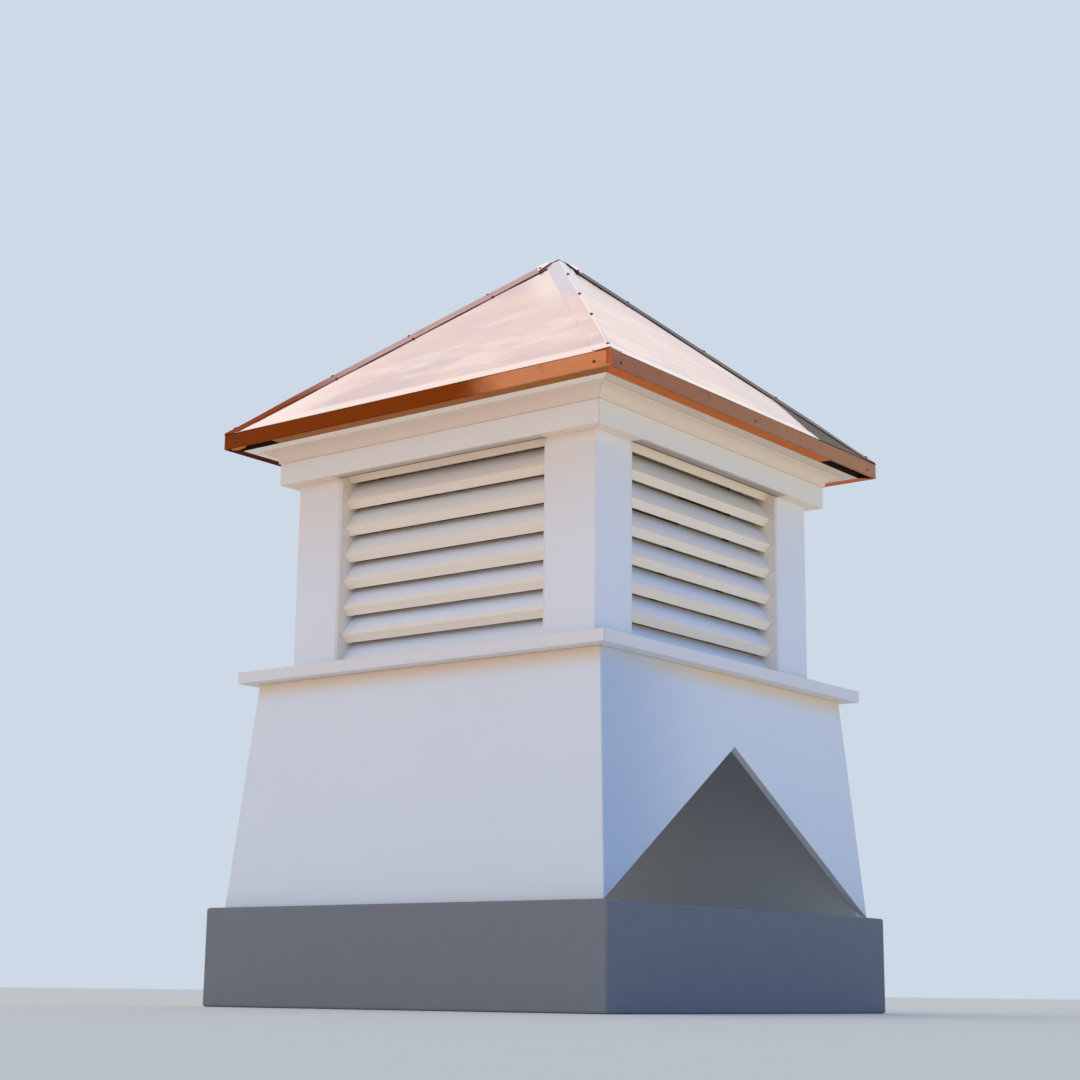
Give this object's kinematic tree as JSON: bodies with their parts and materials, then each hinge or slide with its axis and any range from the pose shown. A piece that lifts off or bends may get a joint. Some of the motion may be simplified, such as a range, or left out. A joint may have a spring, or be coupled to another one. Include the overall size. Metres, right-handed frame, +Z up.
{
  "type": "roof cupola",
  "caption": "Louvred roof cupola with a tapered skirt notched over a ridge, a flat sill, a cove crown and a pyramid copper roof.",
  "frame": {"origin": "on the floor under the middle of the cupola, at the level of the skirt's lowest edges", "axes": "+Z up, -Y out of the front face, X along the house's ridge"},
  "size_m": [0.755, 0.755, 1.067],
  "materials": {
    "white_board": "smooth white board, semi-matt",
    "white_vinyl": "smooth white vinyl, soft sheen",
    "copper": "bright copper sheet, lightly rippled",
    "plywood": "bare plywood, inside the roof"
  },
  "bodies": {
    "root": {"apex_cap": "copper", "back_crown": "white_board", "back_drip_edge": "copper", "back_frieze": "white_board", "back_left_hip_cap": "copper", "back_left_post": "white_vinyl", "back_louvre_blades": "white_vinyl", "back_louvre_jambs": "white_vinyl", "back_right_hip_cap": "copper", "back_right_post": "white_vinyl", "back_roof_sheet": "copper", "back_sill": "white_board", "back_skirt": "white_board", "front_and_back_roof_boards": "plywood", "front_crown": "white_board", "front_drip_edge": "copper", "front_frieze": "white_board", "front_left_hip_cap": "copper", "front_left_post": "white_vinyl", "front_louvre_blades": "white_vinyl", "front_louvre_jambs": "white_vinyl", "front_right_hip_cap": "copper", "front_right_post": "white_vinyl", "front_roof_sheet": "copper", "front_sill": "white_board", "front_skirt": "white_board", "left_crown": "white_board", "left_drip_edge": "copper", "left_frieze": "white_board", "left_louvre_blades": "white_vinyl", "left_louvre_jambs": "white_vinyl", "left_roof_sheet": "copper", "left_sill": "white_board", "left_skirt": "white_board", "right_and_left_roof_boards": "plywood", "right_crown": "white_board", "right_drip_edge": "copper", "right_frieze": "white_board", "right_louvre_blades": "white_vinyl", "right_louvre_jambs": "white_vinyl", "right_roof_sheet": "copper", "right_sill": "white_board", "right_skirt": "white_board", "soffit": "white_board"}
  },
  "joints": []
}
